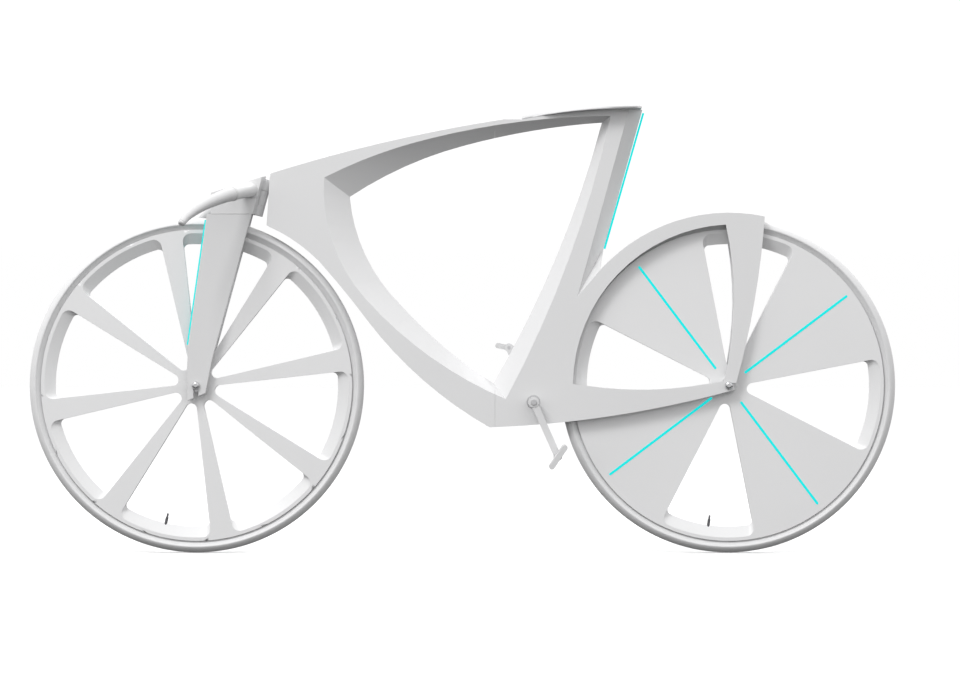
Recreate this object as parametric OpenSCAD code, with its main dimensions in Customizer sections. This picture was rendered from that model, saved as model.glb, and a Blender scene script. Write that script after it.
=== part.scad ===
// Folding bicycle with plate-like wheels, a hollow triangular frame and a hidden shaft drive.
// X runs from the front wheel to the rear wheel, Z is up and -Y is the rider's left side.
// The origin is on the ground, halfway between the axles, on the middle plane.

/* [Wheels] */
// Distance between the two axles
wheelbase = 1080; // [1000:10:1200]
// Outer radius of the tyres, which is also the height of the axles
tyre_r = 340; // [330:1:350]
// Width of the tyres
tyre_w = 28; // [25:1:30]
// Radial depth of the tyre that shows outside the rim
tyre_depth = 23; // [20:1:26]
// Radial width of the flat rim band
rim_band = 8; // [6:1:14]
// How far the rim's inner ridge stands in from the flat band
rim_ridge = 22; // [12:1:30]
// Thickness of the wheel discs
disc_w = 24; // [20:1:26]
// Half angle of one opening, measured between its straight sides
opening_half_angle = 19; // [16:1:20]
// Distance of the opening's straight sides from the true radius
opening_inset = 4.5; // [3:0.5:8]
// Radius of the solid middle of the wheel discs
hub_disc_r = 38; // [34:1:50]
// Radius of the outer corners of an opening
opening_corner_r = 16; // [8:1:20]
// Angle of the first rear opening from the rearward direction
rear_opening_start = -8; // [-20:1:20]
// Angle of the front opening pattern from the rearward direction
front_opening_start = 32.3; // [20:1:40]
// Radius of the wheel bearings
bearing_r = 13; // [11:0.5:15]
// Width of one wheel bearing
bearing_w = 8; // [6:1:10]
// Half width over the hub barrels
hub_half_w = 15; // [14:0.5:16]

/* [Axles] */
// Radius of both wheel axles
axle_r = 5; // [4:0.5:6]
// Gap between an axle and what turns on it
running_gap = 0.04; // [0.02:0.01:0.08]
// Radius of the domed axle nuts
nut_r = 8; // [7:0.5:9]

/* [Frame] */
// Width of the frame
frame_w = 64; // [58:1:70]
// Half width of the space for a wheel
wheel_gap_half = 20; // [18:1:22]
// Gap between the tyre and the fender's inside
fender_gap = 4; // [3:0.5:6]
// Thickness of the fender over its wheel space
fender_skin = 6; // [5:0.5:8]
// Half width of the rear ridge of the seat mast
ridge_half_w = 3; // [2:0.5:4]
// Distance of the fold plane in front of the crank
fold_ahead = 78; // [70:1:90]
// Gap between the two frame halves
fold_gap = 0.3; // [0.2:0.1:0.6]
// Radius of the fold hinge barrels
fold_barrel_r = 6; // [5:0.5:6.5]
// Radius of the fold pins
fold_pin_r = 3; // [2.5:0.5:3.5]
// Distance of the fold hinge outside the frame's right side
fold_out = 11; // [10:0.5:11]

/* [Steering] */
// Angle of the steering axis from the ground
head_angle = 75; // [72:0.5:78]
// How far the bars turn to each side
steer_limit = 24; // [15:1:24]
// Radius of the steering barrels
head_barrel_r = 12; // [10:0.5:14]
// Radius of the steering pin
steer_pin_r = 5; // [4:0.5:6]
// Thickness of a fork blade
blade_t = 11; // [9:0.5:11.5]

/* [Handlebar] */
// Half width over the bar ends
bar_half_span = 200; // [180:5:230]
// Radius of the bar inside the grip
bar_r = 9; // [8:0.5:11]
// Radius of the bar at its tip, inside the grip
bar_tip_r = 4.5; // [4:0.5:6]
// Thickness of the grip's wall at its root
grip_wall = 5.5; // [3:0.5:7]
// Thickness of the grip's wall at the bar's tip
grip_tip_wall = 3; // [2:0.5:4]

/* [Crank] */
// Distance from the crank axle to a pedal axle
crank_len = 120; // [100:5:140]
// Angle of the left crank arm from the rearward direction
crank_phase = -66; // [-90:1:-40]
// Radius of the crank axle
crank_axle_r = 8; // [7:0.5:9]
// Radius of the crank bearings
crank_bearing_r = 14; // [12:0.5:15]
// Distance from the middle plane to the inside of a crank arm
crank_arm_y = 50; // [48:1:56]
// Thickness of a crank arm
crank_arm_t = 10; // [9:1:12]
// Width of a crank arm
crank_arm_w = 14; // [12:1:18]
// Length of a pedal across the bike
pedal_w = 62; // [50:2:62]
// Length of a pedal along the foot
pedal_len = 57; // [50:1:70]
// Thickness of a pedal
pedal_t = 11; // [10:0.5:14]
// Radius of the pedal axles
pedal_axle_r = 3.5; // [3:0.5:4]

/* [Hidden drive] */
// Radius of the drive shaft
shaft_r = 3; // [2.5:0.1:3.4]
// Radius of the drive pinions
pinion_r = 4.5; // [4.2:0.1:4.8]
// Radius of the gear on the crank axle
crank_gear_r = 21; // [19:1:22]
// Radius of the gear on the rear hub
hub_gear_r = 17; // [15:1:19]

/* [Saddle] */
// Width of the saddle at the back
saddle_w = 132; // [110:2:150]
// Width of the saddle's nose
saddle_nose_w = 40; // [34:2:56]
// Thickness of the saddle's base
saddle_base_t = 2.5; // [2:0.5:4]

/* [Hidden] */
$fn = 64;
flat_fit = 0.3;
half_w = frame_w / 2;
front = [-wheelbase / 2, tyre_r];
rear = [wheelbase / 2, tyre_r];
crank = [144, 306.5];
fold_x = crank[0] - fold_ahead;
fold_y = half_w + fold_out;
rim_r = tyre_r - tyre_depth;
opening_r = rim_r - rim_band;
ridge_r = opening_r - rim_ridge;
pocket_r = tyre_r + fender_gap;
fender_r = pocket_r + fender_skin;
fender_angles = [138, 78];
steer = front + [131, 380];
steer_tilt = 90 - head_angle;
stay_y = wheel_gap_half;
shaft_y = stay_y + pinion_r;
shaft_len = norm(rear - crank);
shaft_tilt = atan2(rear[1] - crank[1], rear[0] - crank[0]);

// ---- outlines ----

// Points of the arc from a to b whose middle stands sag to the left of the straight line.
function arc(a, b, sag, n = 8) =
    let (d = b - a, c = norm(d), r = (c * c / 4 + sag * sag) / (2 * sag),
         left = [-d[1], d[0]] / c, mid = (a + b) / 2 + left * (sag - r),
         t0 = atan2(a[1] - mid[1], a[0] - mid[0]),
         sweep = -2 * asin(c / 2 / r))
    [for (i = [0:n]) mid + abs(r) * [cos(t0 + sweep * i / n), sin(t0 + sweep * i / n)]];

// The same arc without its last point, for joining arcs into one outline.
function part_arc(a, b, sag, n = 8) = [for (i = [0:n - 1]) arc(a, b, sag, n)[i]];

// Corners of the opening in the frame, on the side faces and on the middle plane.
face_front = front + [260, 421];
face_rear = rear + [-239, 546];
face_low = crank + [-56, 5.5];
mid_front = front + [311, 383];
mid_rear = rear + [-256.5, 534];
mid_low = crank + [-81, 37.5];

face_opening = concat(
    part_arc(face_front, front + [478, 501], 7, 6),
    part_arc(front + [478, 501], face_rear, 10.9, 8),
    part_arc(face_rear, face_low, 21, 8),
    part_arc(face_low, front + [343, 176], 19.3, 8),
    part_arc(front + [343, 176], face_front, 26.3, 8));
mid_opening = concat(
    part_arc(mid_front, front + [543, 487], 10.4, 6),
    part_arc(front + [543, 487], mid_rear, 6.9, 8),
    part_arc(mid_rear, mid_low, 19.2, 8),
    part_arc(mid_low, front + [413, 165], 8.5, 8),
    part_arc(front + [413, 165], mid_front, 21.5, 8));

saddle_front = rear + [-423, 544];
saddle_rear = rear + [-202, 566.5];
mast_top = rear + [-174, 566];
mast_foot = rear + [-307, 180];
fender_front = rear + fender_r * [cos(fender_angles[0]), sin(fender_angles[0])];
fender_rear = rear + fender_r * [cos(fender_angles[1]), sin(fender_angles[1])];
ridge_foot = rear + [-253, 278];
stay_tip = rear + [13.5, -0.5];
stay_under = rear + [11, -9];
bottom_corner = crank + [-89, -51.5];
head_top = front + [150, 429];
head_foot = front + [119, 334];

// Side outline of the whole frame, both halves together, with the space for the saddle cut down.
frame_outline = concat(
    part_arc(head_top, saddle_front, 10.5, 16),
    [saddle_front + [0, -5]],
    part_arc(saddle_front + [3, -5], saddle_rear + [0, -6], 4.5, 8),
    [saddle_rear + [0, -6], mast_top + [-28, -6], mast_foot],
    [for (i = [0:13]) let (t = fender_angles[0] + (fender_angles[1] - fender_angles[0]) * i / 14)
        rear + fender_r * [cos(t), sin(t)]],
    part_arc(fender_rear, stay_tip, 8.7, 8),
    [stay_tip, stay_under],
    part_arc(stay_under, bottom_corner, 14.7, 14),
    part_arc(bottom_corner, front + [348, 131], 16.6, 8),
    part_arc(front + [348, 131], front + [250, 251], -1.7, 3),
    part_arc(front + [250, 251], head_foot, -8.6, 6));

// Window in the side plates through which the rear wheel shows.
window_low = rear + [-316, 3];
window_top = rear + [-6, 326];
window_tip = rear + [-9, 8.5];
window_outline = concat(
    part_arc(window_low, window_top, 88.5, 16),
    part_arc(window_top, window_tip, 18.2, 8),
    part_arc(window_tip, window_low, 14.4, 10));

// ---- shared shapes ----

// Turns a side outline in X and Z into a plate between y0 and y1.
module plate(y0, y1) {
    translate([0, y1, 0]) rotate([90, 0, 0]) linear_extrude(y1 - y0) children();
}

// A round bar along Y at a place in X and Z.
module bar_y(at, r, y0, y1) {
    translate([at[0], y0, at[1]]) rotate([-90, 0, 0]) cylinder(r = r, h = y1 - y0);
}

// A ring along Y at a place in X and Z.
module ring_y(at, ro, ri, y0, y1) {
    translate([at[0], y0, at[1]]) rotate([-90, 0, 0]) linear_extrude(y1 - y0)
        difference() { circle(ro); circle(ri); }
}

// A round bar along the hidden shaft, from s0 to s1 measured from the crank axle.
module along_shaft(r, s0, s1) {
    translate([crank[0], shaft_y, crank[1]]) rotate([0, 90 - shaft_tilt, 0])
        translate([0, 0, s0]) cylinder(r = r, h = s1 - s0);
}

// Places its children in the steering frame, whose Z is the steering axis.
module at_steering() {
    translate([steer[0], 0, steer[1]]) rotate([0, steer_tilt, 0]) children();
}

// Both sides of something that is drawn on the left, at negative Y.
module both_sides() {
    children();
    mirror([0, 1, 0]) children();
}

// Ridged opening of the frame: the face outline on both sides, the smaller outline in the middle.
module frame_opening() {
    n = len(face_opening);
    over = 1 + 1 / half_w;
    function ring(y, t) = [for (i = [0:n - 1])
        let (p = mid_opening[i] + (face_opening[i] - mid_opening[i]) * t) [p[0], y, p[1]]];
    points = concat(ring(-half_w - 1, over), ring(0, 0), ring(half_w + 1, over));
    sides = [for (k = [0, 1], i = [0:n - 1]) let (j = (i + 1) % n)
        each [[k * n + i, (k + 1) * n + j, k * n + j], [k * n + i, (k + 1) * n + i, (k + 1) * n + j]]];
    cap0 = [[for (i = [0:n - 1]) i]];
    cap1 = [[for (i = [n - 1:-1:0]) 2 * n + i]];
    polyhedron(points, concat(sides, cap0, cap1), convexity = 6);
}

// The frame before it is divided at the fold.
module whole_frame() {
    difference() {
        union() {
            plate(-half_w, half_w) polygon(frame_outline);
            mast_wedge();
        }
        frame_opening();
    }
}

// Rear of the seat mast, which narrows to a ridge that carries the light strip.
module mast_wedge() {
    r = ridge_half_w;
    top = mast_top - [0, 6];
    foot = mast_foot - [0.5, 0.5];
    start = fender_front - [0, 1];
    function pair(p, y) = [[p[0], -y, p[1]], [p[0], y, p[1]]];
    hull() polyhedron(concat(pair(top - [28.5, 0], half_w), pair(foot, half_w), pair(ridge_foot, r),
        pair(top, r)), box_faces);
    hull() polyhedron(concat(pair(foot, half_w), pair(start, half_w), pair(ridge_foot, r)),
        [[0, 2, 4], [1, 5, 3], [0, 1, 3, 2], [2, 3, 5, 4], [4, 5, 1, 0]]);
}

// Faces of a box whose corners come in pairs, left and right, in order round its outline.
box_faces = [[0, 2, 4, 6], [1, 7, 5, 3], [0, 1, 3, 2], [2, 3, 5, 4], [4, 5, 7, 6], [6, 7, 1, 0]];

// ---- fold ----

lower_z = [crank[1] - 36, crank[1] - 17, crank[1] + 3, crank[1] + 22];
upper_z = [crank[1] + 554, crank[1] + 560.5, crank[1] + 567];
fold_arm_root = 16;
knuckle_gap = 0.15;
tongue_y = [-22, -12];
tongue_z = [crank[1] - 6.5, crank[1] + 1.5];
tongue_len = 26;
latch_x = fold_x - 17;
latch_y = (tongue_y[0] + tongue_y[1]) / 2;
latch_r = 4;
latch_travel = 16;
latch_top = tongue_z[0] - 2.5;
knob_r = 8;
knob_z = crank[1] - 43;

// One knuckle of the fold hinge; side is -1 on the front half and 1 on the rear half.
module knuckle(side, z0, z1) {
    gap = fold_gap / 2;
    translate([fold_x, fold_y, z0]) cylinder(r = fold_barrel_r, h = z1 - z0);
    x0 = side > 0 ? fold_x + gap : fold_x - gap - fold_barrel_r;
    translate([x0, half_w - fold_arm_root, z0]) cube([fold_barrel_r, fold_out + fold_arm_root, z1 - z0]);
}

module fold_bore(r, z0, z1) {
    translate([fold_x, fold_y, z0]) cylinder(r = r, h = z1 - z0);
}

// ---- rear half ----

dropout_len = 20;

module rear_frame() color([0.88, 0.88, 0.89]) difference() {
    union() {
        intersection() {
            whole_frame();
            translate([fold_x + fold_gap / 2, -half_w - 1, 0]) cube([900, frame_w + 2, 1000]);
        }
        knuckle(1, lower_z[1] + knuckle_gap, lower_z[2] - knuckle_gap);
        knuckle(1, upper_z[1] + knuckle_gap, upper_z[2]);
        translate([fold_x - tongue_len, tongue_y[0], tongue_z[0]])
            cube([tongue_len + 8, tongue_y[1] - tongue_y[0], tongue_z[1] - tongue_z[0]]);
    }
    bar_y(rear, pocket_r, -wheel_gap_half, wheel_gap_half);
    plate(-half_w - 1, half_w + 1) polygon(window_outline);
    bar_y(rear, axle_r, -half_w - 1, half_w + 1);
    translate([rear[0], -half_w - 1, rear[1] - axle_r]) cube([dropout_len, frame_w + 2, 2 * axle_r]);
    fold_bore(fold_pin_r, lower_z[1] - 1, lower_z[2] + 1);
    fold_bore(fold_pin_r, upper_z[1] - 1, upper_z[2] + 1);
    translate([latch_x, latch_y, tongue_z[0] - 1]) cylinder(r = latch_r + 0.2, h = 12);
    bar_y(crank, crank_bearing_r, -half_w - 1, -half_w + 6);
    bar_y(crank, crank_axle_r + 2, -half_w - 1, half_w);
    bar_y(crank, crank_gear_r + 1, stay_y - 1, half_w + 1);
    along_shaft(shaft_r + 0.8, 10, shaft_len - 10);
    along_shaft(pinion_r + 0.4, 10, crank_gear_r + 3);
    along_shaft(bush_r, crank_gear_r + 2, crank_gear_r + 12);
    along_shaft(bush_r, shaft_len - hub_gear_r - 10, shaft_len - hub_gear_r - 2);
    along_shaft(pinion_r + 0.4, shaft_len - hub_gear_r - 3, shaft_len - 8);
    translate(battery_at - [1, battery_size[1] / 2 + 1, 1]) cube(battery_size + [2, 2, 2]);
}

bush_r = 4.4;

module crank_bearings() color([0.45, 0.46, 0.48]) {
    ring_y(crank, crank_bearing_r, crank_axle_r + running_gap, -half_w, -half_w + 6);
    ring_y(crank, crank_bearing_r, crank_axle_r + running_gap, half_w + 4, half_w + 10);
}

module drive_cover() color([0.83, 0.83, 0.84]) difference() {
    bar_y(crank, crank_gear_r + 4, half_w, half_w + 10);
    bar_y(crank, crank_gear_r + 1, half_w - 1, half_w + 4);
    bar_y(crank, crank_bearing_r, half_w + 3, half_w + 11);
}

module shaft_bushes() color([0.70, 0.55, 0.30]) {
    for (s = [crank_gear_r + 3, shaft_len - hub_gear_r - 10]) difference() {
        along_shaft(bush_r, s, s + 7);
        along_shaft(shaft_r + running_gap, s - 1, s + 8);
    }
}

module axle_with_collars(at, tip) {
    bar_y(at, axle_r, -tip, tip);
    ring_y(at, axle_r + 2, axle_r, -wheel_gap_half, -hub_half_w - 0.3);
    ring_y(at, axle_r + 2, axle_r, hub_half_w + 0.3, wheel_gap_half);
}

module axle_nuts(at, y) {
    both_sides() translate([at[0], -y, at[1]]) rotate([90, 0, 0]) rotate_extrude()
        polygon([[axle_r, 0], [nut_r, 0], [nut_r, 3.5], [nut_r - 2, 6], [axle_r - 1, 7], [0, 7],
                 [0, 5.5], [axle_r, 5.5]]);
}

module rear_axle() color([0.35, 0.36, 0.38]) axle_with_collars(rear, half_w + 5);
module rear_axle_nuts() color([0.75, 0.75, 0.77]) axle_nuts(rear, half_w);

module fold_pins() color([0.70, 0.71, 0.73]) {
    fold_bore(fold_pin_r, lower_z[0] - 1.5, lower_z[3] + 1.5);
    fold_bore(fold_pin_r, upper_z[0] - 1.5, upper_z[2] + 1);
}

battery_size = [28, 24, 110];
battery_at = [rear[0] - 299, 0, 556];

module light_battery() color([0.20, 0.21, 0.23]) {
    translate(battery_at - [0, battery_size[1] / 2, 0]) cube(battery_size);
}

light_w = 2 * ridge_half_w;
light_t = 4;

module mast_light() color([0.10, 0.92, 0.90]) {
    top = mast_top + [0, -12];
    d = (ridge_foot - top) / norm(ridge_foot - top);
    out = [-d[1], d[0]];
    a = top;
    b = ridge_foot;
    plate(-light_w / 2, light_w / 2) polygon([a, b, b + out * light_t, a + out * light_t]);
}

// Saddle outline from above, from the nose to the back.
module saddle_plan(in = 0) {
    nose = saddle_nose_w / 2 - in;
    back = saddle_w / 2 - in;
    x0 = saddle_front[0] + 3 + in;
    x1 = mast_top[0] - 2 - in;
    side = concat(arc([x0 + 18, -nose], [x1 - 70, -back], -14, 8),
                  [[x1 - 16, -back], [x1 - 5, -back + 4], [x1, -back + 14]]);
    tip = [for (t = [0:15:90]) [x0 + 18 - 18 * sin(t), -nose * cos(t)]];
    half = concat([for (i = [6:-1:0]) tip[i]], side);
    polygon(concat(half, [for (i = [len(half) - 1:-1:1]) [half[i][0], -half[i][1]]]));
}

// Side outline of a saddle layer between two heights over the frame's top.
module saddle_side(h0, h1) {
    function line(h) = concat(part_arc(saddle_front + [-4, -5 + h], saddle_rear + [0, -6 + h], 4.5, 8),
                              [saddle_rear + [0, -6 + h], mast_top + [2, -6 + h]]);
    low = line(h0);
    high = line(h1);
    polygon(concat(low, [for (i = [len(high) - 1:-1:0]) high[i]]));
}

module seat_base() color([0.35, 0.35, 0.37]) intersection() {
    plate(-100, 100) saddle_side(0, saddle_base_t);
    translate([0, 0, 700]) linear_extrude(300) saddle_plan(2);
}

module seat_pad() color([0.80, 0.80, 0.81]) intersection() {
    plate(-100, 100) saddle_side(saddle_base_t, 8.5);
    translate([0, 0, 700]) linear_extrude(300) saddle_plan(0);
}

// ---- folding front half ----

steer_low = -36;
steer_high = 38;
knuckle_low = -14;
knuckle_high = 16;
wedge_half = steer_limit / 2 + 0.6;

// Space in front of the head, cut back on both sides so that the stem can turn.
module head_clearance() {
    at_steering() translate([0, 0, -80]) linear_extrude(160) polygon([[0.3, 0],
        [40 * tan(wedge_half) + 0.3, 40], [-60, 40], [-60, -40], [40 * tan(wedge_half) + 0.3, -40]]);
}

module front_frame() color([0.88, 0.88, 0.89]) difference() {
    union() {
        difference() {
            intersection() {
                whole_frame();
                translate([fold_x - fold_gap / 2 - 900, -half_w - 1, 0]) cube([900, frame_w + 2, 1000]);
            }
            head_clearance();
            at_steering() translate([0, 0, -80]) cylinder(r = head_barrel_r + 0.5, h = 80 + knuckle_low);
            at_steering() translate([0, 0, knuckle_high]) cylinder(r = head_barrel_r + 0.5, h = 80);
        }
        at_steering() translate([0, 0, knuckle_low + 0.2])
            cylinder(r = head_barrel_r, h = knuckle_high - knuckle_low - 0.4);
        knuckle(-1, lower_z[0], lower_z[1] - knuckle_gap);
        knuckle(-1, lower_z[2] + knuckle_gap, lower_z[3]);
        knuckle(-1, upper_z[0], upper_z[1] - knuckle_gap);
    }
    at_steering() translate([0, 0, -60]) cylinder(r = steer_bush_r, h = 120);
    fold_bore(fold_pin_r + running_gap, lower_z[0] - 1, lower_z[1]);
    fold_bore(fold_pin_r + running_gap, lower_z[2], lower_z[3] + 1);
    fold_bore(fold_pin_r + running_gap, upper_z[0] - 1, upper_z[1]);
    translate([fold_x - tongue_len - 2, tongue_y[0] - 6, tongue_z[0] - 0.5])
        cube([tongue_len + 4, tongue_y[1] - tongue_y[0] + 6.5, tongue_z[1] - tongue_z[0] + 1]);
    translate([latch_x, latch_y, knob_z]) cylinder(r = latch_r + 0.2, h = 64);
    translate([latch_x, latch_y, crank[1] - 80]) cylinder(r = knob_r + 0.4, h = 80 - 43 + 5 + latch_travel + 1);
}

steer_bush_r = steer_pin_r + 2;

module steering_bushes() color([0.70, 0.55, 0.30]) at_steering() {
    for (z = [knuckle_low + 0.2, knuckle_high - 10.2]) translate([0, 0, z]) linear_extrude(10)
        difference() { circle(steer_bush_r); circle(steer_pin_r + running_gap); }
}

module latch_bolt() color([0.70, 0.71, 0.73])
    translate([latch_x, latch_y, knob_z + 5]) cylinder(r = latch_r, h = latch_top - knob_z - 5);

module latch_knob() color([0.30, 0.31, 0.33])
    translate([latch_x, latch_y, knob_z]) cylinder(r = knob_r, h = 5);

// ---- steering ----

stem_front = front[0] + 30;
crown_split = front[1] + 380;
crown_low = front[1] + 347;
stem_top_rear = front + [143, 426];
stem_top_front = front + [30, 391];

// What lies ahead of the steering axis, cut back on both sides so that it can turn.
module steering_side() {
    at_steering() translate([0, 0, -80]) linear_extrude(160) polygon([[-0.3, 0],
        [-40 * tan(wedge_half) - 0.3, 40], [-200, 40], [-200, -40], [-40 * tan(wedge_half) - 0.3, -40]]);
}

module steering_barrels(z0, z1) {
    at_steering() translate([0, 0, z0]) cylinder(r = head_barrel_r, h = z1 - z0);
}

module barrel_space() {
    at_steering() translate([0, 0, knuckle_low]) cylinder(r = head_barrel_r + 0.5, h = knuckle_high - knuckle_low);
    at_steering() translate([0, 0, -70]) cylinder(r = steer_pin_r, h = 140);
    at_steering() translate([0, 0, steer_high]) cylinder(r = steer_pin_r + 2.3, h = 40);
}

module stem_block() color([0.86, 0.86, 0.87]) difference() {
    union() {
        intersection() {
            plate(-half_w, half_w) polygon([[stem_front, crown_split], stem_top_front, stem_top_rear,
                stem_top_rear + [10, -80]]);
            steering_side();
            translate([-700, -50, crown_split]) cube([400, 100, 200]);
        }
        steering_barrels(knuckle_high, steer_high);
    }
    barrel_space();
    stem_bolt_holes();
}

module crown_block() color([0.86, 0.86, 0.87]) difference() {
    union() {
        intersection() {
            plate(-half_w, half_w) polygon([[stem_front, crown_low], [stem_front, crown_split],
                [front[0] + 200, crown_split], [front[0] + 200, crown_low]]);
            steering_side();
        }
        steering_barrels(steer_low, knuckle_low);
    }
    barrel_space();
    stem_bolt_holes();
    crown_bolt_holes();
}

module steering_pin() color([0.70, 0.71, 0.73]) at_steering() {
    translate([0, 0, steer_low]) cylinder(r = steer_pin_r, h = steer_high - steer_low);
    translate([0, 0, steer_high]) cylinder(r = steer_pin_r + 2, h = 2);
}

stem_bolt_x = [stem_front + 18, stem_front + 58];
stem_bolt_r = 3;

module stem_bolt_holes() {
    for (x = stem_bolt_x) translate([x, 0, crown_split - 25]) cylinder(r = stem_bolt_r, h = 37);
}

module stem_bolts() color([0.35, 0.36, 0.38]) {
    for (x = stem_bolt_x) translate([x, 0, crown_split - 24]) cylinder(r = stem_bolt_r, h = 35);
}

blade_y = -half_w + 0.5;
blade_top = crown_low;
crown_bolt_x = [stem_front + 16, stem_front + 60];
crown_bolt_y = (wheel_gap_half + half_w) / 2;

module crown_bolt_holes() {
    for (x = crown_bolt_x, y = [-crown_bolt_y, crown_bolt_y])
        translate([x, y, blade_top - 20]) cylinder(r = stem_bolt_r, h = 42);
}

module crown_bolts() color([0.35, 0.36, 0.38]) {
    for (x = crown_bolt_x, y = [-crown_bolt_y, crown_bolt_y])
        translate([x, y, blade_top - 19]) cylinder(r = stem_bolt_r, h = 40);
}

blade_front_top = front + [22, 345];
blade_front_mid = front + [-16, 80];
blade_front_low = front + [-18, 36];

module blade() difference() {
    plate(blade_y, blade_y + blade_t) polygon(concat(
        [[blade_front_top[0], blade_top], front + [113, 347], front + [33, 53], front + [19.5, -16],
         front + [-17.5, -31.5]],
        [blade_front_low, blade_front_mid, blade_front_top]));
    bar_y(front, axle_r, -half_w - 1, 0);
    translate([front[0] - axle_r, -half_w - 1, front[1] - 50]) cube([2 * axle_r, half_w, 50]);
    crown_bolt_holes();
}

module fork_blade_left() color([0.84, 0.84, 0.85]) blade();
module fork_blade_right() color([0.84, 0.84, 0.85]) mirror([0, 1, 0]) blade();

module fork_light() {
    d = (blade_front_mid - blade_front_top) / norm(blade_front_mid - blade_front_top);
    out = [d[1], -d[0]];
    a = blade_front_top + d * 10;
    b = blade_front_mid - d * 2;
    plate(blade_y + 3, blade_y + blade_t - 3) polygon([a, a + out * 3, b + out * 3, b]);
}

module fork_light_left() color([0.10, 0.92, 0.90]) fork_light();
module fork_light_right() color([0.10, 0.92, 0.90]) mirror([0, 1, 0]) fork_light();

module front_axle() color([0.35, 0.36, 0.38]) axle_with_collars(front, half_w + 4.5);
module front_axle_nuts() color([0.75, 0.75, 0.77]) axle_nuts(front, half_w - 0.5);

// Middle line of the left handlebar: out from the stem block, then forward and down to the tip.
bar_root = [front[0] + 110, -half_w, front[1] + 396];
bar_tip = [front[0] - 18, -bar_half_span, front[1] + 321];
bar_pull = [bar_root + [-15, -68, -2], bar_tip + [18, 31, 41]];

function bezier(t) = pow(1 - t, 3) * bar_root + 3 * t * pow(1 - t, 2) * bar_pull[0]
    + 3 * t * t * (1 - t) * bar_pull[1] + t * t * t * bar_tip;
function slope(t) = bezier(t + 0.01) - bezier(t - 0.01);
function unit(v) = v / norm(v);

// A tube of changing radius along the bar's middle line, from t0 to t1.
module bar_sweep(t0, t1, r0, r1, rings = 14, sides = 20) {
    points = [for (i = [0:rings]) let (t = t0 + (t1 - t0) * i / rings, d = unit(slope(t)),
            u = unit(cross(d, [0, 0, 1])), v = cross(u, d), r = r0 + (r1 - r0) * i / rings)
        for (j = [0:sides - 1]) bezier(t) + r * (u * cos(360 * j / sides) + v * sin(360 * j / sides))];
    walls = [for (i = [0:rings - 1], j = [0:sides - 1]) let (k = (j + 1) % sides)
        each [[i * sides + j, (i + 1) * sides + k, (i + 1) * sides + j],
              [i * sides + j, i * sides + k, (i + 1) * sides + k]]];
    ends = [[for (j = [sides - 1:-1:0]) j], [for (j = [0:sides - 1]) rings * sides + j]];
    polyhedron(points, concat(walls, ends), convexity = 4);
}

grip_start = 0.30;

grip_end = 0.97;
grip_fit = 0.15;

// The bar's thick neck is cut flat where it stands on the stem block.
module handlebar() {
    difference() {
        bar_sweep(-0.06, grip_start, bar_r + grip_wall, bar_r + grip_wall, 8);
        translate([bar_root[0] - 60, -half_w, bar_root[2] - 60]) cube([120, half_w, 120]);
    }
    bar_sweep(grip_start - 0.001, grip_end, bar_r, bar_tip_r);
}

module grip() difference() {
    bar_sweep(grip_start + 0.004, grip_end, bar_r + grip_wall, bar_tip_r + grip_tip_wall);
    bar_sweep(grip_start - 0.001, grip_end + 0.01, bar_r + grip_fit, bar_tip_r + grip_fit);
}

module handlebar_left() color([0.88, 0.88, 0.89]) handlebar();
module handlebar_right() color([0.88, 0.88, 0.89]) mirror([0, 1, 0]) handlebar();
module grip_left() color([0.80, 0.80, 0.81]) grip();
module grip_right() color([0.80, 0.80, 0.81]) mirror([0, 1, 0]) grip();
module bar_end_plugs() color([0.80, 0.80, 0.81]) both_sides()
    bar_sweep(grip_end + 0.0005, 1, bar_tip_r + grip_tip_wall, bar_tip_r + 1, 3);

// ---- wheels ----

// One opening of a wheel disc: a wedge with a round nose at the hub and round outer corners.
module wheel_opening(angle) {
    a = opening_half_angle;
    s = sin(a);
    nose_r = (hub_disc_r - opening_inset / s) * s / (1 - s);
    nose = hub_disc_r + nose_r;
    f = opening_corner_r;
    reach = sqrt(pow(opening_r - f, 2) - pow(opening_inset + f, 2));
    corner = reach * [cos(a), sin(a)] + (opening_inset + f) * [s, -cos(a)];
    ca = atan2(corner[1], corner[0]);
    half = concat(
        [for (i = [0:5]) let (t = 180 - (90 - a) * i / 5) [nose + nose_r * cos(t), nose_r * sin(t)]],
        [for (i = [0:5]) let (t = 90 + a + (ca - 90 - a) * i / 5) corner + f * [cos(t), sin(t)]],
        [for (i = [1:3]) let (t = ca * (1 - i / 4)) opening_r * [cos(t), sin(t)]]);
    rotate(angle) polygon(concat(half, [[opening_r, 0]],
        [for (i = [len(half) - 1:-1:1]) [half[i][0], -half[i][1]]]));
}

module wheel_disc(at, angles, valve_angle) {
    bed = rim_r - 7;
    difference() {
        union() {
            difference() {
                bar_y(at, opening_r + 1, -disc_w / 2, disc_w / 2);
                plate(-disc_w, disc_w) translate(at) for (t = angles) wheel_opening(t);
            }
            translate([at[0], 0, at[1]]) rotate([-90, 0, 0]) rotate_extrude($fn = 128) polygon([
                [ridge_r, 0], [opening_r, -disc_w / 2], [rim_r, -disc_w / 2], [rim_r, -disc_w / 2 + 3],
                [bed, -disc_w / 2 + 5], [bed, disc_w / 2 - 5], [rim_r, disc_w / 2 - 3],
                [rim_r, disc_w / 2], [opening_r, disc_w / 2]]);
            bar_y(at, bearing_r + 4, -hub_half_w, hub_half_w);
        }
        bar_y(at, bearing_r, -hub_half_w - 1, -hub_half_w + bearing_w);
        bar_y(at, bearing_r, hub_half_w - bearing_w, hub_half_w + 1);
        bar_y(at, axle_r + 2, -hub_half_w, hub_half_w);
        translate([at[0], 0, at[1]]) rotate([0, 90 - valve_angle, 0]) translate([0, 0, ridge_r - 2])
            cylinder(r = valve_r, h = 60);
    }
}

front_angles = [for (i = [0:7]) front_opening_start + 45 * i];
rear_angles = [for (i = [0:3]) rear_opening_start + 90 * i];
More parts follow.
